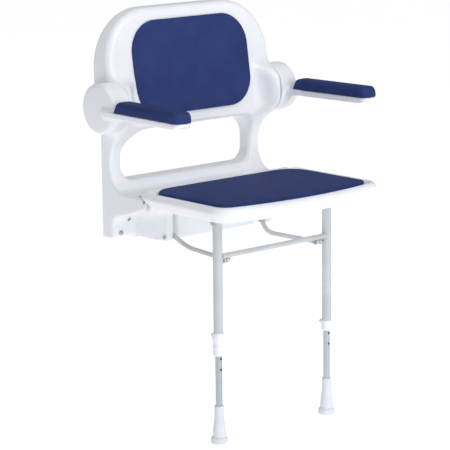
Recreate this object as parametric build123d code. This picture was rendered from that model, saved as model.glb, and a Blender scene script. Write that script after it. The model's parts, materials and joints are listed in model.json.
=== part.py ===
from build123d import *
import math
import os

# A wall-mounted fold-up shower seat with padded back, padded lift-up arms and two adjustable legs.
# Millimetres. X is left to right, -Y is out from the wall, +Z is up, and the wall is the plane y = 0.
# Heights are written above the floor. save() lowers every piece by FIX_Z, so that the origin is
# on the wall, midway between the two lower wall fixings.

# ---- driving dimensions -------------------------------------------------------------------------
FIX_Z = 450.0              # height of the lower wall fixings
FIX_X = 208.0              # half spacing of the lower wall fixings
MID_FIX = (186.0, 480.0)   # half spacing and height of the middle pair
TOP_FIX = (110.0, 905.0)   # half spacing and height of the top pair, behind the back pad
SKIN = 4.0                 # wall thickness of the mouldings
RIB = 3.0

TOP_Z = 968.0              # top of the back panel
PANEL_X = 250.0            # half width of the back panel
PANEL_MID_Y = -54.6        # the panel's face at its middle height, and its slope
PANEL_MID_Z = 830.0
PANEL_LEAN = 0.15
POST_X = 233.5             # half width of the side posts and of the lower body
BOTTOM_Z = 438.0
OPEN_X = 200.0             # opening between panel, posts and lower body
OPEN_Z = (573.0, 686.0)
CHEEK_X = (146.0, 164.0)   # the two cheeks that carry the link rods
CHEEK_Y = -153.0
APRON_Y = -138.0
SLOT_X = 122.0             # inner side of the slot beside each cheek

HINGE = (-146.0, 541.0)    # seat hinge axis, y and z
LEG_PIVOT = (-334.0, 514.0)
LINK_DROP = (4.0, -92.0)   # from each seat joint to the matching link joint
LINK_LEG = (LEG_PIVOT[0] + LINK_DROP[0], LEG_PIVOT[1] + LINK_DROP[1])
LINK_WALL = (HINGE[0] + LINK_DROP[0], HINGE[1] + LINK_DROP[1])
LINK_KINK = (124.0, -179.0, 424.0)
LINK_R = 5.6

SEAT_X = 248.5             # half width of the seat
SEAT_TOP = 566.0
SEAT_WIDEST = 552.0
SEAT_BOTTOM = 530.0
SEAT_CORNER_Y = -437.0     # front edge at the sides, and at the middle
SEAT_FRONT_Y = -470.0
BARREL_R = SEAT_TOP - HINGE[1]
BARREL_X = 221.0
TROUGH_GAP = 2.0
EAR_X = 223.5              # inner side of the hinge ears at the ends of the trough
FOLD_RELIEF_X = (116.0, 184.0)    # the barrel is cut away here for the folded legs and link rods
FOLD_RELIEF_Z = HINGE[1] - 13.5
PAD_Z = (556.0, 568.2)     # seat pad, which lies in a shallow dish in the shell
DISH_Z = 560.0

LEG_X = 170.0
TUBE_R = 11.1
TUBE_WALL = 1.3
TUBE_TOP = LEG_PIVOT[1] + 6.0
TUBE_END = 212.0
INNER_R = 7.9
INNER_TOP = 352.0
HOLE_PITCH = 25.4
HOLE_R = 2.9
FOOT_TOP = 88.0
CROSSBAR = (-337.0, 434.0, 6.0)   # y, z and radius

HUB = (-57.0, 750.0)       # arm hinge axis, y and z
HUB_R = 58.5
HUB_X = (234.6, 288.0)
ARM_ROOT_X = 271.5         # centre line of the arm at its root
ARM_SPLAY = 2.7            # each arm points outwards by this angle
ARM_WIDTH = 48.0
ARM_BASE_Z = (735.0, 748.0)
ARM_FRONT_Y = -372.0
PIN_R = 6.0

ROD_R = 4.0                # seat hinge rod, pivot bolts and the arms' stop pegs
BOLT_R = 3.0
PEG_R = 3.0
STOP_PEG = (HUB[0] + 20.0, HUB[1] + 30.0)
LEG_Y = LEG_PIVOT[0]
HOLE_LOW = 198.5           # the upper of the two holes that show below each leg's ferrule
BUTTON_Z = {-1: HOLE_LOW + 2 * HOLE_PITCH, 1: HOLE_LOW + HOLE_PITCH}
BACK_STUDS = [(x, z) for x in (-130, 130) for z in (760, 880)]
SEAT_STUDS = [(x, y) for x in (-180, -35, 35, 180) for y in (-235, -400)]
BRACKET_SCREWS = [(s * LEG_X + dx, LEG_Y + dy) for s in (-1, 1) for dx in (-20, 20)
                  for dy in (-11, 11)]
ARM_SCREWS = (-180.0, -320.0)

RUN = 0.05                 # radial clearance of a running fit
FREE = 0.15                # clearance of a screw or a peg in its hole
LINK_FREE = 0.3            # looser pivot where the link rods meet the legs


# ---- helpers ------------------------------------------------------------------------------------
def block(x0, x1, y0, y1, z0, z1):
    return Pos((x0 + x1) / 2, (y0 + y1) / 2, (z0 + z1) / 2) * Box(x1 - x0, y1 - y0, z1 - z0)


def rod_x(y, z, radius, x0, x1):
    return Pos((x0 + x1) / 2, y, z) * Rot(0, 90, 0) * Cylinder(radius, abs(x1 - x0))


def rod_y(x, z, radius, y0, y1):
    return Pos(x, (y0 + y1) / 2, z) * Rot(90, 0, 0) * Cylinder(radius, abs(y1 - y0))


def rod_z(x, y, radius, z0, z1):
    return Pos(x, y, (z0 + z1) / 2) * Cylinder(radius, abs(z1 - z0))


def ring_z(x, y, outer, inner, z0, z1):
    return rod_z(x, y, outer, z0, z1) - rod_z(x, y, inner, z0 - 1, z1 + 1)


def mirrored(shape):
    return mirror(shape, Plane.YZ)


def both_sides(shape):
    return [shape, mirrored(shape)]


def side_profile(points, x0, x1):
    """A solid with an outline given as (y, z) points, running from x0 to x1."""
    outline = make_face(Polyline(*[(0, y, z) for y, z in points], close=True))
    return Pos(x0, 0, 0) * extrude(outline, x1 - x0, dir=(1, 0, 0))


def turned_z(x, y, outline):
    """A solid of revolution about the vertical through x, y. The outline is (radius, z) points."""
    face = make_face(Polyline(*[(r, 0, z) for r, z in outline], close=True))
    return Pos(x, y, 0) * revolve(face, Axis.Z)


def save(name, *shapes):
    solids = [s for shape in shapes for s in shape.solids()]
    placed = [Pos(0, 0, -FIX_Z) * s for s in solids]
    export_step(placed[0] if len(placed) == 1 else Compound(children=placed), f"parts/{name}.step")


# ---- back moulding ------------------------------------------------------------------------------
def front_outline(inset):
    """Front view of the back: panel above, posts and lower body below, as an XZ face."""
    half = PANEL_X - inset
    post = POST_X - inset
    shoulder = HUB[1] + HUB_R + 2 + inset
    panel = Pos(0, 0, (TOP_Z - inset + shoulder) / 2) * Rot(90, 0, 0) * Rectangle(
        2 * half, TOP_Z - inset - shoulder)
    panel = fillet(panel.vertices().sort_by(Axis.Z)[-2:], 98 - inset)
    lower = Pos(0, 0, (BOTTOM_Z + inset + shoulder) / 2) * Rot(90, 0, 0) * Rectangle(
        2 * post, shoulder - BOTTOM_Z - inset)
    return panel, lower


def front_solid(inset, depth):
    panel, lower = front_outline(inset)
    return extrude(panel, depth, dir=(0, -1, 0)) + extrude(lower, depth, dir=(0, -1, 0))


def opening_solid(grow):
    x = OPEN_X + grow
    z0, z1 = OPEN_Z[0] - grow, OPEN_Z[1] + grow
    face = Pos(0, 0, (z0 + z1) / 2) * Rot(90, 0, 0) * Rectangle(2 * x, z1 - z0)
    face = fillet(face.vertices().sort_by(Axis.Z)[:2], 28 + grow)
    face = fillet(face.vertices().sort_by(Axis.Z)[-2:], 52 + grow)
    return Pos(0, 5, 0) * extrude(face, 175, dir=(0, -1, 0))


def panel_face(z):
    """The leaning face that the back pad lies on, as y at height z."""
    return PANEL_MID_Y + PANEL_LEAN * (z - PANEL_MID_Z)


def depth_solid(inset, rear):
    """The side view of the back, from the flange at the bottom to the top edge."""
    i = inset
    return side_profile([
        (rear, BOTTOM_Z), (-38 + i, BOTTOM_Z), (-38 + i, 490 + i), (-56 + i, 497 + i),
        (-104, 504 + i), (-150, 523 + i), (-155 + i, 532), (-155 + i, 543 - i), (-148, 549 - i),
        (-112, 549 - i), (-66, 553 - i), (-46 + i, 563), (-36 + i, 585), (-33 + i, 615), (-36 + i, 650),
        (-56 + i, 680), (panel_face(704) + i, 704), (panel_face(940) + i, 940), (-34 + i, 957),
        (-24, TOP_Z - i),
        (rear, TOP_Z - i)], -260, 260)


def fairing(inset):
    """The swelling on the right of the panel, as round as the arm hub beside it."""
    drum = rod_x(*HUB, HUB_R - inset, 180, POST_X - inset)
    plan = make_face(Polyline((178, 5), (178, -60), (222, -114), (240, -114), (240, 5), close=True))
    plan = offset(plan, -inset, kind=Kind.INTERSECTION) if inset else plan
    return drum & (Pos(0, 0, HUB[1] - 60) * extrude(plan, 120, dir=(0, 0, 1)))


def lower_body():
    return (block(-SLOT_X, SLOT_X, APRON_Y, 0, BOTTOM_Z, 530)
            + block(-CHEEK_X[1], CHEEK_X[1], -118, 0, BOTTOM_Z, 530))


def cheek():
    body = block(*CHEEK_X, CHEEK_Y, -36, BOTTOM_Z, 522)
    corner = body.edges().filter_by(Axis.X).group_by(Axis.Z)[0].sort_by(Axis.Y)[0]
    return fillet(corner, 10)


def hollow():
    """The space inside the moulding, open to the wall."""
    upper = front_solid(SKIN, 170) & depth_solid(SKIN, 6)
    upper -= opening_solid(SKIN)
    upper += block(-SLOT_X + SKIN, SLOT_X - SKIN, APRON_Y + SKIN, 6, BOTTOM_Z + SKIN, 530)
    upper += block(-CHEEK_X[1] + SKIN, CHEEK_X[1] - SKIN, -114, 6, BOTTOM_Z + SKIN, 530)
    for side in both_sides(fairing(SKIN)):
        upper += side
    upper += front_slice(6)
    return upper - rod_x(*HINGE, BARREL_R + TROUGH_GAP + SKIN, -260, 260)


def front_slice(rear):
    """A thin slab that opens the hollow to the wall over the whole back."""
    panel, lower = front_outline(SKIN)
    slab = extrude(panel, 12, dir=(0, -1, 0)) + extrude(lower, 12, dir=(0, -1, 0))
    return Pos(0, rear, 0) * (slab - opening_solid(SKIN))


def rib_grid():
    plates = [block(x - RIB / 2, x + RIB / 2, -170, 0, BOTTOM_Z, TOP_Z)
              for x in (-225, -150, -75, 0, 75, 150, 225)]
    plates += [block(-260, 260, -170, 0, z - RIB / 2, z + RIB / 2)
               for z in (500, 625, 720, 790, 860, 930)]
    return plates


def screw_holes():
    holes = [rod_y(sx * x, z, 3.2, -60, 1)
             for x, z in ((FIX_X, FIX_Z), MID_FIX, TOP_FIX) for sx in (-1, 1)]
    sunk = [rod_y(sx * TOP_FIX[0], TOP_FIX[1], 8.0, -70, -35) for sx in (-1, 1)]
    return holes + sunk


def pad_stud_holes():
    return [rod_y(x, z, 2.5 + FREE, -85, -28) for x, z in BACK_STUDS]


def back_moulding():
    outer = front_solid(0, 170) & depth_solid(0, 0)
    outer -= opening_solid(0)
    outer += lower_body()
    for side in both_sides(cheek()) + both_sides(fairing(0)):
        outer += side
    inner = hollow()
    body = outer - inner
    for plate in rib_grid():
        body += plate & inner
    for x, z in ((FIX_X, FIX_Z), MID_FIX, TOP_FIX):
        for sx in (-1, 1):
            body += rod_y(sx * x, z, 11, -80, 0) & outer
    body += block(-24, 24, -12, 0, BOTTOM_Z + 2, FIX_Z + 12)
    for side in both_sides(rod_x(*HUB, 14, 196, POST_X)):
        body += side
    for side in both_sides(rod_x(*STOP_PEG, 6, 200, POST_X)):
        body += side
    body -= rod_x(*HINGE, ROD_R + FREE, -260, 260)
    body -= rod_x(*HUB, PIN_R + FREE, -260, 260)
    body -= rod_x(*STOP_PEG, PEG_R + FREE, -260, 260)
    body -= rod_x(*LINK_WALL, BOLT_R + FREE, -170, 170)
    body -= rod_x(*HINGE, BARREL_R + TROUGH_GAP, -EAR_X, EAR_X)
    for cut in screw_holes() + pad_stud_holes():
        body -= cut
    return body & block(-260, 260, -170, 0, BOTTOM_Z, TOP_Z)


# ---- pieces on the wall side --------------------------------------------------------------------
def back_pad():
    """Plain slab leaning with the panel; its corners are large arcs."""
    bottom, top, half = 720.7, 938.7, 178.3
    face = Pos(0, 0, (bottom + top) / 2) * Rot(90, 0, 0) * Rectangle(2 * half, top - bottom)
    face = fillet(face.vertices(), 72)
    rear = [(panel_face(z) - 0.3, z) for z in (bottom, top)]
    front = [(panel_face(z) - 7.3, z) for z in (top, bottom)]
    return side_profile(rear + front, -190, 190) & extrude(face, 100, dir=(0, -1, 0))


def back_pad_studs():
    return [rod_y(x, z, 2.5, panel_face(z) + 0.2, -30) for x, z in BACK_STUDS]


def wall_screw(x, z, head_y):
    shank = rod_y(x, z, 3.0, head_y, -0.5)
    head = Pos(x, head_y - 1.6, z) * Rot(90, 0, 0) * Cone(4.6, 3.4, 3.2)
    slot = rod_y(x, z, 1.7, head_y - 4, head_y - 1.4)
    return shank + head - slot


def wall_fixing_places():
    """The lower four screws are in place; the top pair of holes is left free."""
    lower = [(x, z, -39.6) for x, z in ((FIX_X, FIX_Z), MID_FIX)]
    return [(sx * x, z, y) for x, z, y in lower for sx in (-1, 1)]


def wall_screws():
    return [wall_screw(x, z, y) for x, z, y in wall_fixing_places()]


def wall_washers():
    return [rod_y(x, z, 6, y + 0.05, y + 1.5) - rod_y(x, z, 3.0 + FREE, y - 1, y + 3)
            for x, z, y in wall_fixing_places()]


def pivot_bolt(y, z, x0, x1, head):
    """A bolt along X: head outside at x1, end at x0."""
    shank = rod_x(y, z, BOLT_R, x0, x1)
    return shank + rod_x(y, z, head, x1, x1 + 2.6) - rod_x(y, z, 1.6, x1 + 1.4, x1 + 4)


def cheek_bolts():
    return both_sides(pivot_bolt(*LINK_WALL, 131, CHEEK_X[1] + 0.1, 4.2))


def hinge_rod():
    return rod_x(*HINGE, ROD_R, -233, 233)


def hinge_rod_caps():
    cap = rod_x(*HINGE, 5.2, 233.6, 234.6)
    return both_sides(cap)


def arm_pivot_pins():
    return both_sides(rod_x(*HUB, PIN_R, 198, HUB_X[1] - 12))


def arm_stop_pegs():
    return both_sides(rod_x(*STOP_PEG, PEG_R, 202, HUB_X[0] + 5.5))


# ---- seat ---------------------------------------------------------------------------------------
def seat_outline(z, inset):
    y0 = HINGE[0]
    x = SEAT_X
    edge = (Polyline((-x, SEAT_CORNER_Y, z), (-x, y0, z), (x, y0, z), (x, SEAT_CORNER_Y, z))
            + ThreePointArc((x, SEAT_CORNER_Y, z), (0, SEAT_FRONT_Y, z), (-x, SEAT_CORNER_Y, z)))
    face = make_face(edge)
    face = fillet(face.vertices().sort_by(Axis.Y)[:2], 48)
    return offset(face, -inset, kind=Kind.ARC) if inset else face


def seat_shell():
    upper = extrude(seat_outline(SEAT_WIDEST, 0), SEAT_TOP - SEAT_WIDEST, dir=(0, 0, 1))
    upper = fillet(upper.faces().sort_by(Axis.Z)[-1].edges(), 11)
    lower = extrude(seat_outline(SEAT_WIDEST, 0), SEAT_WIDEST - SEAT_BOTTOM, dir=(0, 0, -1), taper=26)
    shell = upper + lower
    shell -= side_profile([(-130, 580), (-156, 580), (-156, 562), (-196, SEAT_BOTTOM), (-196, 500),
                           (-130, 500)], -260, 260)
    shell += rod_x(*HINGE, BARREL_R, -BARREL_X, BARREL_X)
    shell += block(-BARREL_X, BARREL_X, -205, HINGE[0], SEAT_BOTTOM, SEAT_TOP)
    for relief in both_sides(block(*FOLD_RELIEF_X, -180, -110, 500, FOLD_RELIEF_Z)):
        shell -= relief
    shell -= seat_hollow()
    for plate in seat_ribs():
        shell += plate
    shell -= extrude(seat_pad_outline(PAD_Z[0] - 0.3, 0.6), 20, dir=(0, 0, 1))
    shell -= extrude(seat_pad_outline(DISH_Z, 4), SEAT_TOP - DISH_Z, dir=(0, 0, 1), taper=-45)
    shell -= rod_x(*HINGE, 6.5, -260, 260)
    for x, y in SEAT_STUDS:
        shell -= rod_z(x, y, 2.5 + FREE, 540, 560)
    for x, y in BRACKET_SCREWS:
        shell -= rod_z(x, y, 2.0 + FREE, 520, 549)
    return shell


def seat_hollow():
    space = extrude(offset(seat_outline(520, 0), -18, kind=Kind.ARC), 31.5, dir=(0, 0, 1))
    space -= block(-260, 260, -214, 0, 500, 560)
    return space


def seat_ribs():
    space = seat_hollow()
    keep = block(-260, 260, -480, 0, 534, 560)
    plates = [block(x - RIB / 2, x + RIB / 2, -480, 0, 500, 560)
              for x in (-200, -140, -70, 0, 70, 140, 200)]
    plates += [block(-260, 260, y - RIB / 2, y + RIB / 2, 500, 560) for y in (-283, -366, -425)]
    pads = [block(s * LEG_X - 27, s * LEG_X + 27, LEG_PIVOT[0] - 22, LEG_PIVOT[0] + 22, 500, 560)
            & block(-260, 260, -480, 0, SEAT_BOTTOM, 560) for s in (-1, 1)]
    return [plate & space & keep for plate in plates] + [pad & space for pad in pads]


def seat_pad_outline(z, grow):
    x = 224.0 + grow
    rear, corner, middle = -159.0 + grow, -413.0 - grow, -436.5 - grow
    edge = (Polyline((-x, corner, z), (-x, rear, z), (x, rear, z), (x, corner, z))
            + ThreePointArc((x, corner, z), (0, middle, z), (-x, corner, z)))
    face = make_face(edge)
    face = fillet(face.vertices().sort_by(Axis.Y)[:2], 22 + grow)
    return fillet(face.vertices().sort_by(Axis.Y)[-2:], 58 + grow)


def seat_pad():
    return extrude(seat_pad_outline(PAD_Z[0], 0), PAD_Z[1] - PAD_Z[0], dir=(0, 0, 1))


def seat_pad_studs():
    return [rod_z(x, y, 2.5, 546, PAD_Z[0] - 0.1) for x, y in SEAT_STUDS]


def hinge_bushes():
    sleeve = rod_x(*HINGE, 6.5 - FREE / 2, 180, BARREL_X + 1) - rod_x(*HINGE, ROD_R + RUN, 170, 230)
    return both_sides(sleeve)


def leg_bracket():
    """Folded white saddle under the seat that carries one leg pivot."""
    y, z = LEG_PIVOT
    top = SEAT_BOTTOM - 0.1
    body = block(LEG_X - 27, LEG_X + 27, y - 17, y + 17, top - 2, top)
    for x0 in (LEG_X - 14.5, LEG_X + 12.5):
        body += block(x0, x0 + 2, y - 7.5, y + 7.5, z, top)
        body += rod_x(y, z, 7.5, x0, x0 + 2)
    body -= rod_x(y, z, BOLT_R + FREE, LEG_X - 30, LEG_X + 30)
    for x, sy in BRACKET_SCREWS[4:]:
        body -= rod_z(x, sy, 2.0 + FREE, 500, 560)
    return body


def bracket_screws():
    return [rod_z(x, y, 2.0, 525.7, 546) + rod_z(x, y, 3.6, 525.6, 527.8) for x, y in BRACKET_SCREWS]


def leg_pivot_bolts():
    return both_sides(pivot_bolt(*LEG_PIVOT, LEG_X - 19, LEG_X + 14.6, 4.8))


def leg_pivot_nuts():
    y, z = LEG_PIVOT
    nut = extrude(Pos(LEG_X - 18.7, y, z) * Rot(0, 90, 0) * RegularPolygon(5.0, 6), 4)
    return both_sides(nut - rod_x(y, z, BOLT_R + FREE, LEG_X - 30, LEG_X))


# ---- leg frame ----------------------------------------------------------------------------------
def outer_tube(side):
    x = side * LEG_X
    tube = ring_z(x, LEG_Y, TUBE_R, TUBE_R - TUBE_WALL, TUBE_END, TUBE_TOP)
    tube -= rod_x(*LEG_PIVOT, 4.6 + FREE, x - 20, x + 20)
    return tube - rod_y(x, BUTTON_Z[side], 2.4 + FREE, LEG_Y, LEG_Y + 20)


def crossbar():
    y, z, r = CROSSBAR
    reach = LEG_X - math.sqrt(TUBE_R ** 2 - (y - LEG_Y) ** 2) + 1.5
    bar = rod_x(y, z, r, -reach, reach) - rod_x(y, z, r - 1.2, -reach - 1, reach + 1)
    for side in (-1, 1):
        bar -= rod_z(side * LEG_X, LEG_Y, TUBE_R + 0.02, z - 20, z + 20)
    return bar


def link_bracket(side):
    """Stub on the inside of the leg tube that holds the lower end of a link rod."""
    y, z = LINK_LEG
    body = block(146, LEG_X, y - 3, y + 6, z - 7, z + 4) + rod_x(y, z, 7, 146, 151)
    body -= rod_z(LEG_X, LEG_Y, TUBE_R + 0.02, z - 20, z + 20)
    body -= rod_x(y, z, BOLT_R + FREE, 140, LEG_X)
    return body if side > 0 else mirrored(body)


def link_leg_bolts():
    y, z = LINK_LEG
    bolt = rod_x(y, z, BOLT_R, 134, 155) + rod_x(y, z, 4.2, 131.4, 134) - rod_x(y, z, 1.6, 131, 132.6)
    return both_sides(bolt)


def tube_top_caps():
    cap = (ring_z(LEG_X, LEG_Y, TUBE_R - TUBE_WALL - 0.02, 6, TUBE_TOP - 1, TUBE_TOP + 0.5)
           + rod_z(LEG_X, LEG_Y, TUBE_R - 1.6, TUBE_TOP, TUBE_TOP + 2))
    return both_sides(cap)


def pivot_bushes():
    bush = rod_x(*LEG_PIVOT, 4.6, LEG_X - 12.3, LEG_X + 12.3)
    return both_sides(bush - rod_x(*LEG_PIVOT, BOLT_R + RUN, LEG_X - 20, LEG_X + 20))


def button_pocket(side):
    """Bore for the plunger and its wider spring chamber, open to the rear."""
    x, z = side * LEG_X, BUTTON_Z[side]
    return [rod_y(x, z, 2.4 + RUN, LEG_Y + 5, LEG_Y + 30), rod_y(x, z, 3.6, LEG_Y + 13, LEG_Y + 16.2)]


def lock_collar():
    """The ring on the left leg, with a waist below it that runs down to the ferrule."""
    body = turned_z(-LEG_X, LEG_Y, [(TUBE_R + 0.05, 231), (12.6, 231), (12.6, 237), (14.2, 240),
                                    (15.2, 244), (15.2, 252), (14.2, 256.5), (12.4, 259),
                                    (TUBE_R + 0.05, 259)])
    body += rod_y(-LEG_X, BUTTON_Z[-1], 6, LEG_Y + 12, LEG_Y + 17.4) - rod_z(
        -LEG_X, LEG_Y, TUBE_R + 0.05, 200, 300)
    for cut in button_pocket(-1):
        body -= cut
    return body


def ferrule(side):
    """White end piece on the outer tube; its lower lip guides the inner tube."""
    x = side * LEG_X
    outer = 13.1 if side < 0 else 12.7
    top = 230.9 if side < 0 else 229.4
    body = turned_z(x, LEG_Y, [(INNER_R + RUN, 205.8), (outer - 1.2, 205.8), (outer, 207.5),
                               (outer, top - 3), (outer - 1.2, top), (TUBE_R + 0.05, top),
                               (TUBE_R + 0.05, TUBE_END - 0.1), (INNER_R + RUN, TUBE_END - 0.1)])
    if side > 0:
        body += rod_y(x, BUTTON_Z[1], 5.2, LEG_Y + 11, LEG_Y + 17.4) - rod_z(
            x, LEG_Y, TUBE_R + 0.05, TUBE_END - 0.1, 300)
        for cut in button_pocket(1):
            body -= cut
    return body


def button(side):
    """Pull button: a plunger with a mushroom head on the rear of the leg."""
    x, z = side * LEG_X, BUTTON_Z[side]
    return rod_y(x, z, 2.4, LEG_Y + INNER_R + 0.35, LEG_Y + 18) + fillet(
        rod_y(x, z, 4.4, LEG_Y + 17.8, LEG_Y + 21).edges().filter_by(GeomType.CIRCLE), 0.8)


def button_springs():
    return [rod_y(s * LEG_X, BUTTON_Z[s], 3.4, LEG_Y + 13.2, LEG_Y + 16)
            - rod_y(s * LEG_X, BUTTON_Z[s], 2.7, LEG_Y + 10, LEG_Y + 20) for s in (-1, 1)]


# ---- sliding lower legs -------------------------------------------------------------------------
def inner_tube(side):
    x = side * LEG_X
    tube = ring_z(x, LEG_Y, INNER_R, INNER_R - 1.2, 14, INNER_TOP)
    for step in range(7):
        z = HOLE_LOW + (step - 1) * HOLE_PITCH
        tube -= rod_y(x, z, HOLE_R, LEG_Y - 12, LEG_Y + 12)
    return tube


def tube_guide(side):
    x = side * LEG_X
    bore = TUBE_R - TUBE_WALL
    return (rod_z(x, LEG_Y, bore - RUN, INNER_TOP + 0.05, INNER_TOP + 8)
            + rod_z(x, LEG_Y, INNER_R - 1.2 - 0.05, INNER_TOP - 8, INNER_TOP + 1))


def foot(side):
    """Rubber ferrule foot: a plain neck, a flare and a ribbed skirt."""
    x = side * LEG_X
    neck, flare, skirt = 11.0, 15.2, 19.6
    body = turned_z(x, LEG_Y, [(INNER_R + 0.05, FOOT_TOP), (neck - 0.8, FOOT_TOP), (neck, FOOT_TOP - 1),
                               (neck, 50), (flare - 1.6, 34), (flare, 20), (flare, 15.5),
                               (skirt, 13.5), (skirt, 3), (skirt - 1.5, 0), (0, 0), (0, 13.8),
                               (INNER_R + 0.05, 13.8)])
    grooves = [rod_z(x + (skirt + 0.6) * math.cos(a), LEG_Y + (skirt + 0.6) * math.sin(a), 1.5, -1, 15)
               for a in (math.radians(18 * k) for k in range(20))]
    return body - grooves


# ---- link rods ----------------------------------------------------------------------------------
def link_rod(side):
    start = (138.0, *LINK_WALL)
    end = (140.0, *LINK_LEG)
    line = FilletPolyline(start, LINK_KINK, end, radius=60)
    rod = sweep(Plane(start, z_dir=line % 0) * Circle(LINK_R), path=line)
    for x, (y, z) in ((138.0, LINK_WALL), (140.0, LINK_LEG)):
        rod -= block(x - 20, x + 20, y - 6, y + 6, z - 6, z + 6)
        rod += rod_x(y, z, 7, x - 4, x + 4)
    rod -= rod_x(*LINK_WALL, BOLT_R + RUN, 118, 158)
    rod -= rod_x(*LINK_LEG, BOLT_R + LINK_FREE, 120, 160)
    return rod if side > 0 else mirrored(rod)


# ---- arms (modelled as the right arm, +X) ---------------------------------------------------------
def splayed(shape):
    root = Pos(ARM_ROOT_X, HUB[0], 0)
    return root * Rot(0, 0, ARM_SPLAY) * root.inverse() * shape


def arm_plan(z, grow, front):
    half = ARM_WIDTH / 2 + grow
    y0 = -88.0
    face = Pos(ARM_ROOT_X, (y0 + front - grow) / 2, z) * Rectangle(2 * half, y0 - front + grow)
    return fillet(face.vertices().sort_by(Axis.Y)[:2], 20 + grow)


def arm_moulding(side):
    """Hub and arm base in one piece; the hub is hollow, with a web on its inner side."""
    drum = rod_x(*HUB, HUB_R, *HUB_X)
    rim = drum.edges().filter_by(GeomType.CIRCLE).sort_by(Axis.X)[-1]
    drum = fillet(rim, 12)
    base = extrude(arm_plan(ARM_BASE_Z[0], -1.5, ARM_FRONT_Y), ARM_BASE_Z[1] - ARM_BASE_Z[0],
                   dir=(0, 0, 1))
    chin = side_profile([(-90, 740), (-90, 704), (-108, 712), (-150, 740)],
                        ARM_ROOT_X - 20, ARM_ROOT_X + 6)
    body = drum + splayed(base) + chin
    body -= rod_x(*HUB, HUB_R - SKIN, HUB_X[0] + SKIN, HUB_X[1] - SKIN)
    body += rod_x(*HUB, 13, HUB_X[0], HUB_X[1] - 2)
    body -= rod_x(*HUB, 8.0, HUB_X[0] - 1, HUB_X[1] - SKIN)
    body -= block(220, 300, -200, 0, 700, 860) & stop_slot()
    for y in ARM_SCREWS:
        body -= splayed(rod_z(ARM_ROOT_X, y, 2.0 + FREE, 700, 800))
        body -= splayed(rod_z(ARM_ROOT_X, y, 4.2, 730, 738))
    return body if side > 0 else mirrored(body)


def stop_slot():
    """Curved slot in the inner web of the hub; the stop peg stays still as the arm lifts."""
    dy, dz = STOP_PEG[0] - HUB[0], STOP_PEG[1] - HUB[1]
    radius, start = math.hypot(dy, dz), math.degrees(math.atan2(dz, dy))
    pieces = [rod_x(HUB[0] + radius * math.cos(math.radians(start + a)),
                    HUB[1] + radius * math.sin(math.radians(start + a)),
                    PEG_R + 0.5, HUB_X[0] - 1, HUB_X[0] + 10) for a in range(0, 100, 3)]
    return Part() + pieces


def arm_pad(side):
    pad = extrude(arm_plan(ARM_BASE_Z[1] + 0.1, 0, ARM_FRONT_Y - 2), 21, dir=(0, 0, 1))
    pad -= block(200, 320, -118, -60, 740, 780)
    pad = splayed(pad)
    return pad if side > 0 else mirrored(pad)


def arm_bush(side):
    bush = rod_x(*HUB, 7.9, HUB_X[0] + 0.2, HUB_X[1] - 14) - rod_x(*HUB, PIN_R + RUN, 220, 300)
    return bush if side > 0 else mirrored(bush)


def arm_washers():
    washer = rod_x(*HUB, 12, 233.7, 234.4) - rod_x(*HUB, PIN_R + FREE, 220, 250)
    return both_sides(washer)


def arm_screws(side):
    screws = [splayed(rod_z(ARM_ROOT_X, y, 2.0, 737, 758) + rod_z(ARM_ROOT_X, y, 3.9, 735.6, 737.9))
              for y in ARM_SCREWS]
    return screws if side > 0 else [mirrored(s) for s in screws]


def arm_pad_bored(side):
    pad = arm_pad(side)
    for y in ARM_SCREWS:
        hole = splayed(rod_z(ARM_ROOT_X, y, 2.0 + FREE, 740, 759))
        pad -= hole if side > 0 else mirrored(hole)
    return pad


# ---- files --------------------------------------------------------------------------------------
os.makedirs("parts", exist_ok=True)

save("back_moulding", back_moulding())
save("back_pad", back_pad())
save("back_pad_studs", *back_pad_studs())
save("wall_screws", *wall_screws())
save("wall_washers", *wall_washers())
save("cheek_bolts", *cheek_bolts())
save("seat_hinge_rod", hinge_rod())
save("hinge_rod_caps", *hinge_rod_caps())
save("arm_pivot_pins", *arm_pivot_pins())
save("arm_stop_pegs", *arm_stop_pegs())
save("arm_washers", *arm_washers())

save("seat_shell", seat_shell())
save("seat_pad", seat_pad())
save("seat_pad_studs", *seat_pad_studs())
save("hinge_bushes", *hinge_bushes())
save("right_leg_bracket", leg_bracket())
save("left_leg_bracket", mirrored(leg_bracket()))
save("bracket_screws", *bracket_screws())
save("leg_pivot_bolts", *leg_pivot_bolts())
save("leg_pivot_nuts", *leg_pivot_nuts())

save("crossbar", crossbar())
save("tube_top_caps", *tube_top_caps())
save("leg_pivot_bushes", *pivot_bushes())
save("link_leg_bolts", *link_leg_bolts())
save("button_springs", *button_springs())
save("lock_collar", lock_collar())

for label, side in (("left", -1), ("right", 1)):
    save(f"{label}_outer_tube", outer_tube(side))
    save(f"{label}_link_bracket", link_bracket(side))
    save(f"{label}_ferrule", ferrule(side))
    save(f"{label}_button", button(side))
    save(f"{label}_inner_tube", inner_tube(side))
    save(f"{label}_tube_guide", tube_guide(side))
    save(f"{label}_foot", foot(side))
    save(f"{label}_link_rod", link_rod(side))
    save(f"{label}_arm_moulding", arm_moulding(side))
    save(f"{label}_arm_pad", arm_pad_bored(side))
    save(f"{label}_arm_bush", arm_bush(side))
    save(f"{label}_arm_screws", *arm_screws(side))
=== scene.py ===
import json
import math

import bpy
import numpy as np
from mathutils import Matrix, Vector


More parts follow.
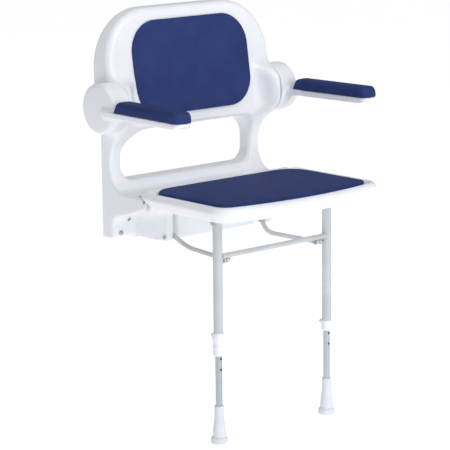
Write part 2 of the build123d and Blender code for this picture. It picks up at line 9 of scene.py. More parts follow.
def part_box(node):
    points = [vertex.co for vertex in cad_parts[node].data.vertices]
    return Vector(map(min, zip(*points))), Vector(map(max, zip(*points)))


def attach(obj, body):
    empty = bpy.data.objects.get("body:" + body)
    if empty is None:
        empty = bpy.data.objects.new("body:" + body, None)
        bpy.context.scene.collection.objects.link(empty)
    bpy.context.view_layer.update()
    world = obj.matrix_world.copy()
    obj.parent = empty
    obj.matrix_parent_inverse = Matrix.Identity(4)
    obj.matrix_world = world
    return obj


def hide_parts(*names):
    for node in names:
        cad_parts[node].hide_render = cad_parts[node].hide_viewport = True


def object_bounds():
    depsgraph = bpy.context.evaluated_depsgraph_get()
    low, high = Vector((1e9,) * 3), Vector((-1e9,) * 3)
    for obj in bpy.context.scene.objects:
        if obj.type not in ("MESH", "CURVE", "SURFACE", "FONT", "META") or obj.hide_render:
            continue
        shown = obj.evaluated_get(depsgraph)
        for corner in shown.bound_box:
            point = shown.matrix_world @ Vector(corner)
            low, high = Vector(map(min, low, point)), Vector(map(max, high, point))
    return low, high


# The looks of a wall-mounted fold-up shower seat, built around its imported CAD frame.
# The moulded pieces are distance fields turned into meshes: a field is negative inside the piece.
# Fields work in millimetres, with z above the floor; meshes are written in metres in the row frame.

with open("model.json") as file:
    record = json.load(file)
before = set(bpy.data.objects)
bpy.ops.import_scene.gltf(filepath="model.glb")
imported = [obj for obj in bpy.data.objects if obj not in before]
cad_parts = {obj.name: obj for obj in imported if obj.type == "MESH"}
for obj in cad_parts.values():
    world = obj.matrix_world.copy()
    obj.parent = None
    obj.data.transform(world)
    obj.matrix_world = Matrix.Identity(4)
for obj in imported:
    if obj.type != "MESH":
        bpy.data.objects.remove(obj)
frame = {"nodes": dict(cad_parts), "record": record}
cad_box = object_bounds()
FLOOR = cad_box[0][2]
STEP_SCALE = 1.0     # coarser grids while trying things


def mm_box(node):
    """The lowest and highest corners of a CAD node, in millimetres with z above the floor."""
    low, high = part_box(node)
    return [np.array([c.x, c.y, c.z - FLOOR]) * 1000 for c in (low, high)]


# ---- sizes taken from the frame -------------------------------------------------------------------
PIN_LOW, PIN_HIGH = mm_box("arm_pivot_pins")
HUB_Y, HUB_Z = ((PIN_LOW + PIN_HIGH) / 2)[1:]
ROD_LOW, ROD_HIGH = mm_box("seat_hinge_rod")
HINGE_Y, HINGE_Z = ((ROD_LOW + ROD_HIGH) / 2)[1:]
BOLT_LOW, BOLT_HIGH = mm_box("cheek_bolts")
LINK_Y, LINK_Z = ((BOLT_LOW + BOLT_HIGH) / 2)[1:]
BACK_LOW, BACK_HIGH = mm_box("back_moulding")
SEAT_LOW, SEAT_HIGH = mm_box("seat_shell")
PAD_LOW, PAD_HIGH = mm_box("seat_pad")
REST_LOW, REST_HIGH = mm_box("back_pad")
ARM_LOW, ARM_HIGH = mm_box("right_arm_moulding")
REST_ARM_LOW, REST_ARM_HIGH = mm_box("right_arm_pad")
TUBE_LOW, TUBE_HIGH = mm_box("right_outer_tube")
LEG_X, LEG_Y = ((TUBE_LOW + TUBE_HIGH) / 2)[:2]
PEG_LOW, PEG_HIGH = mm_box("arm_stop_pegs")
PEG_Y, PEG_Z = ((PEG_LOW + PEG_HIGH) / 2)[1:]

PANEL_X, TOP_Z, BASE_Z = BACK_HIGH[0], BACK_HIGH[2], BACK_LOW[2]
HUB_R = (ARM_HIGH[2] - ARM_LOW[2]) / 2
HUB_X = (ARM_LOW[0], 288.0)      # inner and outer face

# ---- sizes that no CAD box gives on its own -------------------------------------------------------
POST_X = 233.5                   # outer face of the side posts
SKIN = 6.0                       # thicker inside than the CAD's walls, so that the mesh stays closed
RIB = 5.2
SPLAY = math.radians(2.7)        # each arm points outwards by this much
ARM_ROOT_X = 271.5
BARREL_R = 25.0                  # hinge barrel of the seat
BARREL_X = 221.0
ROD_HOLE_R = 4.3                 # hole for the seat's hinge rod in the back moulding
LINK_HOLE_R = 3.3
PIN_HOLE_R = 6.3
PIN_HOLE_FROM_X = 196


# ---- distance fields ------------------------------------------------------------------------------
def outline(corners):
    """A closed outline through (u, v, radius) corners, each one rounded by an arc of its radius."""
    points = []
    for i, (u, v, radius) in enumerate(corners):
        here = np.array((u, v), float)
        back = np.array(corners[i - 1][:2], float) - here
        ahead = np.array(corners[(i + 1) % len(corners)][:2], float) - here
        back /= np.linalg.norm(back)
        ahead /= np.linalg.norm(ahead)
        if radius == 0:
            points.append(here)
            continue
        half = 0.5 * math.acos(np.clip(back @ ahead, -1, 1))
        centre = here + (back + ahead) / np.linalg.norm(back + ahead) * radius / math.sin(half)
        first = here + back * radius / math.tan(half) - centre
        last = here + ahead * radius / math.tan(half) - centre
        start = math.atan2(first[1], first[0])
        turn = (math.atan2(last[1], last[0]) - start + math.pi) % (2 * math.pi) - math.pi
        for t in np.linspace(0, 1, max(3, int(abs(turn) / 0.13) + 2)):
            angle = start + turn * t
            points.append(centre + radius * np.array((math.cos(angle), math.sin(angle))))
    return np.array(points)


def polygon(u, v, points):
    """Signed distance from (u, v) to a closed outline."""
    best, inside = np.float32(1e12), False
    for (u0, v0), (u1, v1) in zip(points, np.roll(points, -1, axis=0)):
        du, dv = u1 - u0, v1 - v0
        length = du * du + dv * dv
        if length < 1e-9:
            continue
        along = np.clip(((u - u0) * du + (v - v0) * dv) / length, 0, 1)
        best = np.minimum(best, (u - u0 - along * du) ** 2 + (v - v0 - along * dv) ** 2)
        if abs(dv) > 1e-9:
            inside = inside ^ (((v0 > v) != (v1 > v)) & (u < u0 + (v - v0) / dv * du))
    return np.where(inside, -1, 1) * np.sqrt(best)


def both(a, b, radius=0.0):
    """What is inside a and b, with a rounded edge where they meet."""
    if radius <= 0:
        return np.maximum(a, b)
    outside = np.hypot(np.maximum(a + radius, 0), np.maximum(b + radius, 0))
    return np.minimum(np.maximum(a, b), -radius) + outside


def either(a, b, radius=0.0):
    """What is inside a or b, with a fillet where they meet."""
    return -both(-a, -b, radius)


def without(a, b, radius=0.0):
    return both(a, -b, radius)


def bar(value, low, high):
    return np.maximum(low - value, value - high)


def slabs(value, centres):
    """Flat ribs across one axis."""
    return [bar(value, c - RIB / 2, c + RIB / 2) for c in centres]


def tube_x(y, z, centre, radius):
    return np.hypot(y - centre[0], z - centre[1]) - radius


# ---- from a field to a mesh -----------------------------------------------------------------------
def crossings(field):
    """Where each grid edge meets the surface, summed into the cells around that edge."""
    cells = tuple(n - 1 for n in field.shape)
    total = np.zeros(cells + (3,), np.float32)
    count = np.zeros(cells, np.float32)
    for axis in range(3):
        low = [slice(None)] * 3
        high = [slice(None)] * 3
        low[axis], high[axis] = slice(0, -1), slice(1, None)
        d0, d1 = field[tuple(low)], field[tuple(high)]
        index = np.argwhere((d0 < 0) != (d1 < 0))
        at = tuple(index.T)
        place = index.astype(np.float32)
        place[:, axis] += d0[at] / (d0[at] - d1[at])
        others = [a for a in range(3) if a != axis]
        for shift in ((0, 0), (0, 1), (1, 0), (1, 1)):
            cell = index.copy()
            cell[:, others[0]] -= shift[0]
            cell[:, others[1]] -= shift[1]
            keep = np.all((cell >= 0) & (cell < np.array(cells)), axis=1)
            where = tuple(cell[keep].T)
            for c in range(3):
                np.add.at(total[..., c], where, place[keep, c])
            np.add.at(count, where, 1)
    return total, count


def quads_of(field, number):
    """Four cells around each grid edge that crosses the surface, turned to face outwards."""
    found = []
    for axis in range(3):
        low = [slice(1, -1)] * 3
        high = [slice(1, -1)] * 3
        low[axis], high[axis] = slice(0, -1), slice(1, None)
        in0, in1 = field[tuple(low)] < 0, field[tuple(high)] < 0
        b, c = [a for a in range(3) if a != axis]
        index = np.argwhere(in0 != in1)
        flipped = in0[tuple(index.T)] != (axis == 1)
        corner = index.copy()
        corner[:, b] += 1
        corner[:, c] += 1
        ring = []
        for db, dc in ((1, 1), (0, 1), (0, 0), (1, 0)):
            cell = corner.copy()
            cell[:, b] -= db
            cell[:, c] -= dc
            ring.append(number[tuple(cell.T)])
        ring = np.stack(ring, axis=1)
        ring[~flipped] = ring[~flipped][:, ::-1]
        found.append(ring)
    return np.concatenate(found)


def sampled(field, place):
    """The field and its slope at points given in grid units, by linear interpolation."""
    top = np.array(field.shape) - 2
    cell = np.clip(np.floor(place).astype(int), 0, top)
    f = place - cell
    value = np.zeros(len(place))
    slope = np.zeros((len(place), 3))
    for i in (0, 1):
        for j in (0, 1):
            for k in (0, 1):
                d = field[cell[:, 0] + i, cell[:, 1] + j, cell[:, 2] + k]
                w = [f[:, a] if s else 1 - f[:, a] for a, s in enumerate((i, j, k))]
                value += d * w[0] * w[1] * w[2]
                slope[:, 0] += d * (1 if i else -1) * w[1] * w[2]
                slope[:, 1] += d * (1 if j else -1) * w[0] * w[2]
                slope[:, 2] += d * (1 if k else -1) * w[0] * w[1]
    return value, slope


def evened(place, quads, field, step, rounds):
    """Evens out the mesh, and puts each point back on the surface after every round."""
    edges = np.concatenate([quads[:, [0, 1]], quads[:, [1, 2]], quads[:, [2, 3]], quads[:, [3, 0]]])
    degree = np.bincount(edges.ravel(), minlength=len(place))[:, None]
    for _ in range(rounds):
        near = np.zeros_like(place)
        for c in range(3):
            near[:, c] = (np.bincount(edges[:, 0], place[edges[:, 1], c], len(place))
                          + np.bincount(edges[:, 1], place[edges[:, 0], c], len(place)))
        place = 0.5 * place + 0.5 * near / degree
        value, slope = sampled(field, place)
        size = np.maximum((slope ** 2).sum(1), 0.2 * step ** 2)
        move = -(value / size)[:, None] * slope
        place = place + np.clip(move, -0.5, 0.5)
    return place


def mesh_from_field(name, shape, low, high, step, rounds=2, mirrored=False):
    """Builds the mesh where shape(x, y, z) changes sign inside the box low..high."""
    step *= STEP_SCALE
    axes = [np.arange(low[a] - 2.5 * step, high[a] + 3 * step, step) for a in range(3)]
    x, y, z = axes[0][:, None, None], axes[1][None, :, None], axes[2][None, None, :]
    field = np.broadcast_to(shape(x, y, z), [len(a) for a in axes]).astype(np.float32)
    field = np.where(np.abs(field) < 1e-4, 1e-4, field)
    total, count = crossings(field)
    used = count > 0
    number = np.full(used.shape, -1)
    number[used] = np.arange(used.sum())
    place = (total[used] / count[used][:, None]).astype(float)
    quads = quads_of(field, number)
    place = evened(place, quads, field, step, rounds)
    points = place * step + np.array([a[0] for a in axes])
    if mirrored:
        points[:, 0] *= -1
        quads = quads[:, ::-1]
    points = points / 1000 + np.array((0, 0, FLOOR))
    return new_object(name, points, quads)


def new_object(name, points, faces):
    mesh = bpy.data.meshes.new(name)
    mesh.from_pydata([tuple(p) for p in points], [], [tuple(int(i) for i in f) for f in faces])
    mesh.polygons.foreach_set("use_smooth", [True] * len(mesh.polygons))
    mesh.validate()
    mesh.update()
    made = bpy.data.objects.new(name, mesh)
    bpy.context.scene.collection.objects.link(made)
    return made


# ---- back moulding --------------------------------------------------------------------------------
PANEL_FOOT_Z = 640
PANEL_CORNER_R = 128
PANEL = outline([(-PANEL_X, PANEL_FOOT_Z, 0), (PANEL_X, PANEL_FOOT_Z, 0),
                 (PANEL_X, TOP_Z, PANEL_CORNER_R), (-PANEL_X, TOP_Z, PANEL_CORNER_R)])
SHOULDER_Z = HUB_Z + 40
BODY = outline([(-POST_X, BASE_Z, 3), (POST_X, BASE_Z, 3), (POST_X, SHOULDER_Z, 0),
                (-POST_X, SHOULDER_Z, 0)])
OPENING = outline([(-196, 573, 30), (196, 573, 30), (199, 686, 54), (-199, 686, 54)])
# Side view as (y, z, radius): the waist of the posts, the hinge shelf and the cove below it.
SIDE = outline([(30, BASE_Z - 20, 0), (-38, BASE_Z - 20, 0), (-38, 487, 26), (-92, 500, 60),
                (-155, 521, 9), (-155, 549, 7), (-66, 552, 34), (-34, 574, 60), (-33, 640, 70),
                (-74.6, 697, 15), (-38.1, 940, 40), (-30, TOP_Z + 30, 0), (30, TOP_Z + 30, 0)])
# Wall fixing holes, as (distance from the centre line, height).
FIXINGS = [(208.0, 450.0), (186.0, 480.0), (110.0, 905.0)]
FIXING_HOLE_R = 3.4
FIXING_BOSS_R = 11
CHEEK_X = (146, 164)             # inner and outer face of each cheek
APRON_X, APRON_Y = 122, -138
STEP_Y = -118
LOWER_TOP_Z = 530
RIB_X = (-225, -150, -75, 0, 75, 150, 225)
RIB_Z = (500, 625, 720, 790, 860, 930)
WALL_BLOCK_X, WALL_BLOCK_Y, WALL_BLOCK_TOP_Z = 24, -12, 462


def fairing(x, y, z):
    """The swelling beside each arm hub: a drum that grows out of the panel's face."""
    side = np.abs(x)
    drum = both(tube_x(y, z, (HUB_Y, HUB_Z), HUB_R), side - POST_X - 0.2, 2.0)
    slope = math.hypot(66, 42)
    rising = ((side - 180) * -66 - (y + 46) * 42) / slope
    return both(both(drum, rising, 16), 150 - side)


def outer_back(x, y, z):
    panel = both(polygon(x, z, PANEL) - 0.05 * y, (SHOULDER_Z - 34) - z)
    upright = polygon(x, z, BODY) - 0.03 * y
    front = polygon(y, z, SIDE)
    body = either(both(panel, front, 15), both(upright, front, 7), 6)
    body = either(body, fairing(x, y, z), 24)
    return without(body, polygon(x, z, OPENING) + 0.06 * y, 10)


def lower_back(x, y, z):
    """The apron behind the link rods and the two cheeks that hold their pivots."""
    side = np.abs(x)
    height = bar(z, BASE_Z, LOWER_TOP_Z)
    apron = both(both(side - APRON_X, APRON_Y - y, 9), height)
    step = both(both(side - CHEEK_X[1], STEP_Y - y, 3), height)
    nose = outline([(-36, BASE_Z, 0), (-153, BASE_Z, 11), (-153, 510, 10), (-140, 526, 4), (-36, 526, 0)])
    cheek = both(bar(side, *CHEEK_X), polygon(y, z, nose), 3.5)
    return either(either(apron, step, 7), cheek, 6)


def bosses(side, z):
    """The round bosses that the wall screws go through."""
    return np.minimum.reduce([np.hypot(side - fx, z - fz) - FIXING_BOSS_R for fx, fz in FIXINGS])


def back_moulding(x, y, z):
    side = np.abs(x)
    upper, lower = outer_back(x, y, z), lower_back(x, y, z)
    solid = either(upper, lower, 24)
    hollow = np.minimum(upper + SKIN, np.maximum(lower + SKIN, y + 20))
    trough = tube_x(y, z, (HINGE_Y, HINGE_Z), BARREL_R + 2)
    hollow = np.maximum(hollow, SKIN - trough)
    hollow = np.maximum(hollow, BASE_Z + SKIN - z)
    shell = np.maximum(solid, -hollow)
    for plate in slabs(x, RIB_X) + slabs(z, RIB_Z):
        shell = np.minimum(shell, np.maximum(np.maximum(plate, solid + 1), y + 3))
    shell = np.minimum(shell, np.maximum(bosses(side, z), solid + 0.5))
    block = np.maximum(bar(x, -WALL_BLOCK_X, WALL_BLOCK_X), bar(z, BASE_Z, WALL_BLOCK_TOP_Z))
    shell = np.minimum(shell, np.maximum(block, WALL_BLOCK_Y - y))
    shell = without(shell, np.maximum(trough, side - 223.5), 1.5)
    shell = np.maximum(shell, y)
    for fx, fz in FIXINGS:
        shell = np.maximum(shell, FIXING_HOLE_R - np.hypot(side - fx, z - fz))
    shell = np.maximum(shell, ROD_HOLE_R - tube_x(y, z, (HINGE_Y, HINGE_Z), 0))
    shell = np.maximum(shell, LINK_HOLE_R - tube_x(y, z, (LINK_Y, LINK_Z), 0))
    pin = tube_x(y, z, (HUB_Y, HUB_Z), 0)
    return np.maximum(shell, -np.maximum(pin - PIN_HOLE_R, PIN_HOLE_FROM_X - side))


# ---- seat shell -----------------------------------------------------------------------------------
WIDEST_Z = 552.0                 # below this the wall tucks in
RIM_WIDTH, RIM_SLOPE, RIM_DROP = 12, 13, 7.5
HOLLOW_INSET, HOLLOW_TOP_Z, HOLLOW_REAR_Y = 18, 550.4, -214
SEAT_RIB_X = (-200, -140, -70, 0, 70, 140, 200)
SEAT_RIB_Y = (-283, -366, -425)
# Room for the cheeks while the seat folds.
RELIEF_X, RELIEF_REAR_Y, RELIEF_DROP = (116, 184), -180, 13.5


def bowed(half, rear, corner, middle, front_radius, rear_radius):
    """Plan outline with a straight rear, straight sides and a bowed front edge."""
    bow = [(x, middle + (corner - middle) * (x / half) ** 2, 0)
           for x in np.linspace(0.72 * half, -0.72 * half, 13)]
    return outline([(-half, rear, rear_radius), (half, rear, rear_radius),
                    (half, corner, front_radius), *bow, (-half, corner, front_radius)])


SEAT_PLAN = bowed(SEAT_HIGH[0], HINGE_Y, -437, SEAT_LOW[1], 46, 2)
PAD_PLAN = bowed(PAD_HIGH[0], PAD_HIGH[1], -413, PAD_LOW[1], 23, 58)
WING_CUT = outline([(-100, 620, 0), (-156, 620, 0), (-156, 561, 3), (-198, 524, 0), (-198, 480, 0),
                    (-100, 480, 0)])


def seat_shell(x, y, z):
    side = np.abs(x)
    top, bottom = SEAT_HIGH[2], 530.0
    plan = polygon(x, y, SEAT_PLAN)
    tuck = np.maximum(WIDEST_Z - z, 0)
    wall = (plan + 0.42 * tuck + 0.006 * tuck ** 2) * 0.93
    dip = np.clip((-RIM_WIDTH - plan) / RIM_SLOPE, 0, 1)
    rim = top - RIM_DROP * dip * dip * (3 - 2 * dip)
    body = both(both(wall, (z - rim) * 0.95, 13), bottom - z, 3)
    body = without(body, polygon(y, z, WING_CUT), 2)
    barrel = either(tube_x(y, z, (HINGE_Y, HINGE_Z), BARREL_R),
                    np.maximum(bar(y, -205, HINGE_Y), bar(z, bottom, 556)))
    body = either(body, both(barrel, side - BARREL_X, 1.5), 1)
    hollow = np.maximum(np.maximum(plan + HOLLOW_INSET, z - HOLLOW_TOP_Z), y - HOLLOW_REAR_Y)
    kept = np.maximum(bar(side, LEG_X - 27, LEG_X + 27), bar(y, LEG_Y - 22, LEG_Y + 22))
    for rib in slabs(x, SEAT_RIB_X) + slabs(y, SEAT_RIB_Y):
        kept = np.minimum(kept, np.maximum(rib, 534 - z))
    shell = np.maximum(body, -np.maximum(hollow, -kept))
    recess = np.maximum(polygon(x, y, PAD_PLAN) - 0.8, PAD_LOW[2] - 0.3 - z)
    shell = without(shell, recess, 2.2)
    relief = np.maximum(bar(side, *RELIEF_X), RELIEF_REAR_Y - y)
    relief = np.maximum(relief, z - (HINGE_Z - RELIEF_DROP))
    shell = without(shell, relief, 1)
    return np.maximum(shell, 6.5 - tube_x(y, z, (HINGE_Y, HINGE_Z), 0))


# ---- arm mouldings --------------------------------------------------------------------------------
BUSH_R = 8                       # bore for the arm's bush
BUSH_BOSS_R = 13
PEG_SLOT_HALF = 3.6
PEG_SLOT_DEPTH = 8
PEG_SLOT_ANGLES = (-0.1, 1.8)    # radians, from the peg's place at rest


def along_arm(x, y):
    """Coordinates along the splayed right arm, from its root."""
    dx, dy = x - ARM_ROOT_X, y - HUB_Y
    return (math.cos(SPLAY) * dx + math.sin(SPLAY) * dy,
            -math.sin(SPLAY) * dx + math.cos(SPLAY) * dy)


def arm_plan(half, rear, front, radius):
    return outline([(-half, rear, 3), (half, rear, 3), (half, front, radius), (-half, front, radius)])


BASE_SIDE = outline([(-20, 735, 0), (-292, 736, 60), (-309, 743, 7), (-311, 760, 0), (-20, 760, 0)])
CHIN = outline([(-85, 747, 0), (-76, 702, 10), (-103, 707, 22), (-134, 739, 18), (-152, 747, 0)])


def hub_inside(x, y, z):
    """The hollow of the hub, behind a web that has the curved slot for the stop peg."""
    radius = np.hypot(y - HUB_Y, z - HUB_Z)
    cavity = both(radius - (HUB_R - SKIN), bar(x, HUB_X[0] + SKIN, HUB_X[1] - SKIN), 6)
    peg_r = math.hypot(PEG_Y - HUB_Y, PEG_Z - HUB_Z)
    start = math.atan2(PEG_Z - HUB_Z, PEG_Y - HUB_Y)
    angle = (np.arctan2(z - HUB_Z, y - HUB_Y) - start + 0.5) % (2 * math.pi) - 0.5
    slot = np.maximum(np.abs(radius - peg_r) - PEG_SLOT_HALF, bar(angle, *PEG_SLOT_ANGLES) * peg_r)
    slot = np.maximum(slot, x - HUB_X[0] - PEG_SLOT_DEPTH)
    bore = np.maximum(radius - BUSH_R, x - (HUB_X[1] - SKIN))
    cavity = np.maximum(cavity, BUSH_BOSS_R - radius)
    return np.minimum(np.minimum(cavity, slot), bore)


def arm_moulding(x, y, z):
    radial = tube_x(y, z, (HUB_Y, HUB_Z), HUB_R)
    domed = x - HUB_X[1] + 2.2 * (1 + radial / HUB_R) ** 2
    drum = both(both(radial, domed, 9), HUB_X[0] - x, 1.5)
    u, v = along_arm(x, y)
    base = both(polygon(u, v, arm_plan(22.5, -22, -309, 19)), polygon(v, z, BASE_SIDE), 4)
    base = np.maximum(base, z - 750)
    chin = both(bar(x, 252.5, 279), polygon(y, z, CHIN), 8)
    return without(either(either(drum, base, 9), np.maximum(chin, z - 747), 12), hub_inside(x, y, z))


# ---- pads -----------------------------------------------------------------------------------------
def seat_pad(x, y, z):
    """Moulded foam: slightly crowned, falling away towards a soft edge."""
    plan = polygon(x, y, PAD_PLAN)
    middle = (PAD_LOW[1] + PAD_HIGH[1]) / 2
    crown = 1.6 * (1 - (x / PAD_HIGH[0]) ** 2) * (1 - ((y - middle) / 160) ** 2)
    top = PAD_HIGH[2] + 0.6 + crown - 1.3 * np.exp(np.minimum(plan, 0) / 16)
    return np.maximum(both(plan, z - top, 5.0), PAD_LOW[2] - z)


REST_PLAN = outline([(-177, REST_LOW[2], 70), (177, REST_LOW[2], 70),
                     (177, REST_HIGH[2], 75), (-177, REST_HIGH[2], 75)])
REST_LEAN = 0.15


def back_pad(x, y, z):
    plan = polygon(x, z, REST_PLAN)
    face = REST_LOW[1] + REST_LEAN * (z - REST_LOW[2])
    crown = 2.0 * (1 - (x / 178) ** 2) - 1.6 * np.exp(np.minimum(plan, 0) / 14)
    return np.maximum(both(plan, face - crown - y, 4.0), y - (face + 7.0))


def arm_pad(x, y, z):
    u, v = along_arm(x, y)
    side = outline([(-67, 730, 0), (-68.5, 751, 2), (-82, 774, 11), (-302, 774, 16), (-313, 759, 8),
                    (-311, 730, 0)])
    crown = 1.5 * (1 - (u / 24) ** 2)
    body = both(polygon(u, v, arm_plan(24.2, -40, -313, 22)), polygon(v, z - crown, side), 11)
    return np.maximum(body, REST_ARM_LOW[2] + 2 - z)


# ---- feet -----------------------------------------------------------------------------------------
def lathe(name, centre, profile, flutes=0, depth=0.0, reach=(0, 0), turns=120):
    """Turned piece. Its radius waves by depth, flutes times round, between the heights in reach."""
    points, faces = [], []
    for radius, z in profile:
        wave = depth if reach[0] <= z <= reach[1] else 0.0
        for k in range(turns):
            angle = 2 * math.pi * k / turns
            r = radius - wave * (0.5 - 0.5 * math.cos(flutes * angle)) ** 2 if radius > 0.1 else radius
            points.append(((centre[0] + r * math.cos(angle)) / 1000,
                           (centre[1] + r * math.sin(angle)) / 1000, z / 1000 + FLOOR))
    for i in range(len(profile) - 1):
        for k in range(turns):
            n = (k + 1) % turns
            faces.append((i * turns + k, i * turns + n, (i + 1) * turns + n, (i + 1) * turns + k))
    return new_object(name, points, faces)


def foot_profile():
    """Neck, flare and skirt of a rubber foot, as (radius, z), from the sole's middle to the mouth."""
    sole = [(0.05, 1.0), (11, 1.0), (13, 0.0), (17.8, 0.0)]
    skirt = [(18.6, 0.5), (19.3, 1.6), (19.6, 3.4), (19.6, 7), (19.6, 10), (19.4, 12), (18.7, 13.4)]
    neck = [(17.2, 14.3), (15.7, 14.8), (15.3, 16), (15.2, 19), (15.1, 24), (14.8, 30), (14.0, 38),
            (12.8, 46), (11.9, 52), (11.3, 58), (11.0, 66), (10.9, 76), (11.0, 84), (10.9, 86.6),
            (10.4, 87.6), (9.6, 88), (8.4, 88), (8.0, 87.4), (8.0, 60), (8.0, 14.2), (0.05, 14.2)]
    return sole + skirt + neck


# ---- materials ------------------------------------------------------------------------------------
def node(tree, kind, **values):
    made = tree.nodes.new(kind)
    for key, value in values.items():
        if key in made.inputs:
            made.inputs[key].default_value = value
        else:
            setattr(made, key, value)
    return made


def material(name, dark, light, rough, metallic=0.0, coat=0.0, spread=9.0, grain=(900.0, 0.0002),
             wave=(28.0, 0.0), stretch=(1, 1, 1), specular=0.5):
    """A surface whose colour and roughness drift slowly, with a fine grain and a soft unevenness.
    rough is (low, high); grain and wave are (scale per metre, height in metres)."""
    made = bpy.data.materials.new(name)
    made.use_nodes = True
    tree = made.node_tree
    shader = tree.nodes["Principled BSDF"]
    shader.inputs["Metallic"].default_value = metallic
    shader.inputs["Coat Weight"].default_value = coat
    shader.inputs["Coat Roughness"].default_value = 0.18
    shader.inputs["Specular IOR Level"].default_value = specular
    place = node(tree, "ShaderNodeTexCoord")
    scaled = node(tree, "ShaderNodeMapping", Scale=stretch)
    tree.links.new(place.outputs["Object"], scaled.inputs["Vector"])
    drift = node(tree, "ShaderNodeTexNoise", Scale=spread, Detail=4.0, Roughness=0.55)
    colours = node(tree, "ShaderNodeValToRGB")
    colours.color_ramp.elements[0].position, colours.color_ramp.elements[1].position = 0.32, 0.68
    colours.color_ramp.elements[0].color, colours.color_ramp.elements[1].color = (*dark, 1), (*light, 1)
    roughness = node(tree, "ShaderNodeMapRange", **{"To Min": rough[0], "To Max": rough[1]})
    fine = node(tree, "ShaderNodeTexNoise", Scale=grain[0], Detail=3.0, Roughness=0.6)
    slow = node(tree, "ShaderNodeTexNoise", Scale=wave[0], Detail=2.0, Roughness=0.5)
    for noise in (drift, fine, slow):
        tree.links.new(scaled.outputs["Vector"], noise.inputs["Vector"])
    tree.links.new(drift.outputs["Fac"], colours.inputs["Fac"])
    tree.links.new(colours.outputs["Color"], shader.inputs["Base Color"])
    tree.links.new(fine.outputs["Fac"], roughness.inputs["Value"])
    tree.links.new(roughness.outputs["Result"], shader.inputs["Roughness"])
    soft = node(tree, "ShaderNodeBump", Strength=1.0, Distance=wave[1])
    crisp = node(tree, "ShaderNodeBump", Strength=1.0, Distance=grain[1])
    tree.links.new(slow.outputs["Fac"], soft.inputs["Height"])
    tree.links.new(fine.outputs["Fac"], crisp.inputs["Height"])
    tree.links.new(soft.outputs["Normal"], crisp.inputs["Normal"])
    tree.links.new(crisp.outputs["Normal"], shader.inputs["Normal"])
    return made


MATERIALS = {
    "moulding_white": material("moulding_white", (0.83, 0.85, 0.89), (0.88, 0.895, 0.93), (0.26, 0.36),
                               coat=0.25, spread=5, grain=(700, 0.00002), wave=(22, 0.00025)),
    "pad_navy": material("pad_navy", (0.022, 0.038, 0.140), (0.028, 0.048, 0.165), (0.55, 0.72),
                         spread=14, grain=(1100, 0.00022), wave=(60, 0.0005), specular=0.1),
    "tube_white": material("tube_white", (0.51, 0.545, 0.555), (0.58, 0.615, 0.625), (0.30, 0.42),
                           coat=0.15, spread=14, grain=(1500, 0.00006), wave=(180, 0.00008)),
    "tube_satin": material("tube_satin", (0.41, 0.46, 0.49), (0.50, 0.56, 0.585), (0.34, 0.48),
                           metallic=0.85, spread=20, grain=(1800, 0.00003), stretch=(1, 1, 0.04)),
    "stainless": material("stainless", (0.42, 0.42, 0.41), (0.58, 0.58, 0.57), (0.24, 0.42),
                          metallic=1.0, spread=60, grain=(2600, 0.00003), stretch=(1, 0.2, 1)),
    "foot_rubber": material("foot_rubber", (0.70, 0.72, 0.77), (0.77, 0.79, 0.84), (0.55, 0.72),
                            spread=22, grain=(1600, 0.00008), wave=(120, 0.0002), specular=0.35),
    "collar_plastic": material("collar_plastic", (0.80, 0.82, 0.86), (0.87, 0.89, 0.93), (0.32, 0.45),
                               spread=20, grain=(1200, 0.00005), wave=(120, 0.0001)),
    "nylon": material("nylon", (0.70, 0.70, 0.64), (0.80, 0.80, 0.75), (0.42, 0.58), spread=30,
                      grain=(1400, 0.00006)),
}
SLOT_OF = {row["node"]: row["material_slot"] for row in frame["record"]["subparts"]}


def dress(piece, slot):
    piece.data.materials.clear()
    piece.data.materials.append(MATERIALS[slot])


for name, piece in frame["nodes"].items():
    dress(piece, SLOT_OF[name])


# ---- put the pieces together ----------------------------------------------------------------------
def add(piece, body, *nodes):
    """The piece takes the finish of the CAD nodes that it stands for, and rides on their body."""
    dress(piece, SLOT_OF[nodes[0]])
    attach(piece, body)
    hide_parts(*nodes)
    return piece


add(mesh_from_field("back_moulded", back_moulding, BACK_LOW, BACK_HIGH, 2.5), "wall_unit",
    "back_moulding")
add(mesh_from_field("seat_moulded", seat_shell, SEAT_LOW, SEAT_HIGH, 2.4), "seat", "seat_shell")
add(mesh_from_field("seat_cushion", seat_pad, PAD_LOW, PAD_HIGH, 2.6), "seat", "seat_pad")
add(mesh_from_field("back_cushion", back_pad, REST_LOW, REST_HIGH, 2.6), "wall_unit",
              "back_pad")
for label, left in (("left", True), ("right", False)):
    add(mesh_from_field(f"{label}_arm_moulded", arm_moulding, ARM_LOW, ARM_HIGH, 1.9, mirrored=left),
        f"{label}_arm", f"{label}_arm_moulding")
    add(mesh_from_field(f"{label}_arm_cushion", arm_pad, REST_ARM_LOW, REST_ARM_HIGH + 5, 1.8,
                                  mirrored=left), f"{label}_arm", f"{label}_arm_pad")
    centre = (-LEG_X if left else LEG_X, LEG_Y)
    add(lathe(f"{label}_rubber_foot", centre, foot_profile(), flutes=22, depth=1.3,
              reach=(0.4, 13.5)),
        f"{label}_lower_leg", f"{label}_foot")


# ---- floor, light and camera ----------------------------------------------------------------------
def ground():
    half, level = 9.0, FLOOR - 0.0005
    corners = [(-half, -half, level), (half, -half, level), (half, half, level), (-half, half, level)]
    floor = new_object("floor", corners, [(0, 1, 2, 3)])
    pale = material("floor_pale", (0.59, 0.59, 0.59), (0.61, 0.61, 0.61), (0.8, 0.9), spread=3,
                    grain=(60, 0.0), specular=0.2)
    shader = pale.node_tree.nodes["Principled BSDF"]
    shader.inputs["Emission Color"].default_value = (1, 1, 1, 1)
    shader.inputs["Emission Strength"].default_value = 0.73
    floor.data.materials.append(pale)


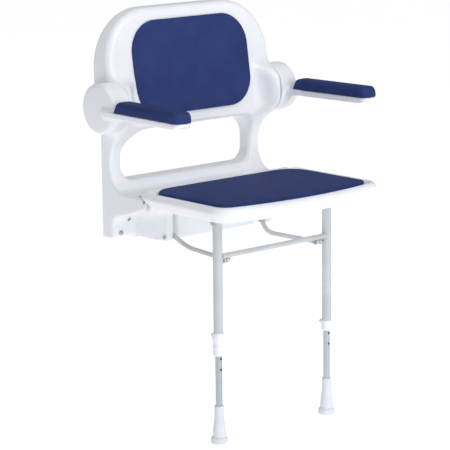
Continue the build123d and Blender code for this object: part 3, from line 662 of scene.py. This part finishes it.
def area_light(name, place, target, size, power, colour):
    lamp = bpy.data.lights.new(name, "AREA")
    lamp.shape, lamp.size, lamp.energy, lamp.color = "DISK", size, power, colour
    made = bpy.data.objects.new(name, lamp)
    made.location = place
    made.rotation_euler = (Vector(target) - Vector(place)).to_track_quat("-Z", "Y").to_euler()
    bpy.context.scene.collection.objects.link(made)


def light():
    world = bpy.data.worlds.new("studio")
    bpy.context.scene.world = world
    world.use_nodes = True
    tree = world.node_tree
    backdrop = tree.nodes["Background"]
    backdrop.inputs["Color"].default_value = (1, 1, 1, 1)
    backdrop.inputs["Strength"].default_value = 1.0
    ambient = node(tree, "ShaderNodeBackground", Color=(0.93, 0.94, 1.0, 1), Strength=0.43)
    seen = node(tree, "ShaderNodeLightPath")
    mix = node(tree, "ShaderNodeMixShader")
    tree.links.new(seen.outputs["Is Camera Ray"], mix.inputs[0])
    tree.links.new(ambient.outputs[0], mix.inputs[1])
    tree.links.new(backdrop.outputs[0], mix.inputs[2])
    tree.links.new(mix.outputs[0], tree.nodes["World Output"].inputs["Surface"])
    middle = (0, -0.2, 0.15)
    area_light("key", (0.5, -5.6, 4.8), middle, 3.6, 138, (1.0, 0.99, 0.97))
    area_light("top", (-0.4, -0.9, 3.4), middle, 2.6, 16, (1.0, 1.0, 1.0))
    area_light("front", (-1.2, -8.0, 1.4), middle, 4.5, 138, (1.0, 1.0, 1.0))


# The camera stands where a photographer with a long lens would, a little above the arms.
CAMERA_PLACE = Vector((-3.2547, -3.8531, 1.0129))
CAMERA_AZIMUTH, CAMERA_PITCH, CAMERA_ROLL = (math.radians(a) for a in (-41.447, 11.555, -0.541))
CAMERA_LENS = 171.15


def camera():
    lens = bpy.data.cameras.new("camera")
    lens.lens, lens.sensor_width = CAMERA_LENS, 36.0
    made = bpy.data.objects.new("camera", lens)
    a, p = CAMERA_AZIMUTH, CAMERA_PITCH
    backward = Vector((math.sin(a) * math.cos(p), -math.cos(a) * math.cos(p), math.sin(p)))
    right = Vector((math.cos(a), math.sin(a), 0))
    up = backward.cross(right)
    turned_right = math.cos(CAMERA_ROLL) * right + math.sin(CAMERA_ROLL) * up
    turned_up = math.cos(CAMERA_ROLL) * up - math.sin(CAMERA_ROLL) * right
    turn = Matrix((turned_right, turned_up, backward)).transposed()
    made.matrix_world = Matrix.Translation(CAMERA_PLACE) @ turn.to_4x4()
    bpy.context.scene.collection.objects.link(made)
    bpy.context.scene.camera = made


ground()
light()
camera()
bpy.context.scene.view_settings.view_transform = "Standard"
